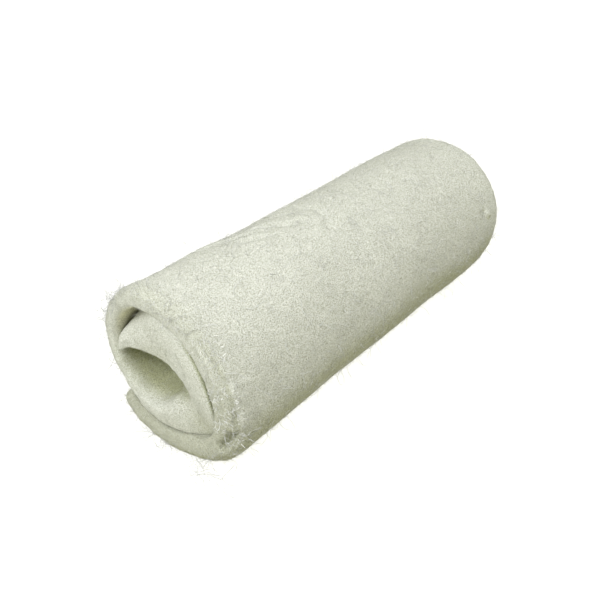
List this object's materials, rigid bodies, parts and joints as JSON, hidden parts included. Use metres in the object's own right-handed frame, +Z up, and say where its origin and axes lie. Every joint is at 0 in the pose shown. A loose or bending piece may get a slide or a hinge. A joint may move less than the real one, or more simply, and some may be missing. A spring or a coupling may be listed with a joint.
{
  "type": "exhaust insulation wool mat",
  "caption": "Soft batt of white glass wool rolled loosely on itself, with an open oval hollow along its axis; packing and heat insulation for exhausts.",
  "frame": {"origin": "middle of the footprint, on the floor that the roll lies on", "axes": "+X along the roll's axis, away from the end where the turns are seen first; +Z up"},
  "size_m": [0.3, 0.1186, 0.1213],
  "materials": {
    "glass_wool": "loose white glass fibre with a faint green cast, fully matte"
  },
  "bodies": {
    "root": {"wool_mat": "glass_wool"}
  },
  "joints": []
}
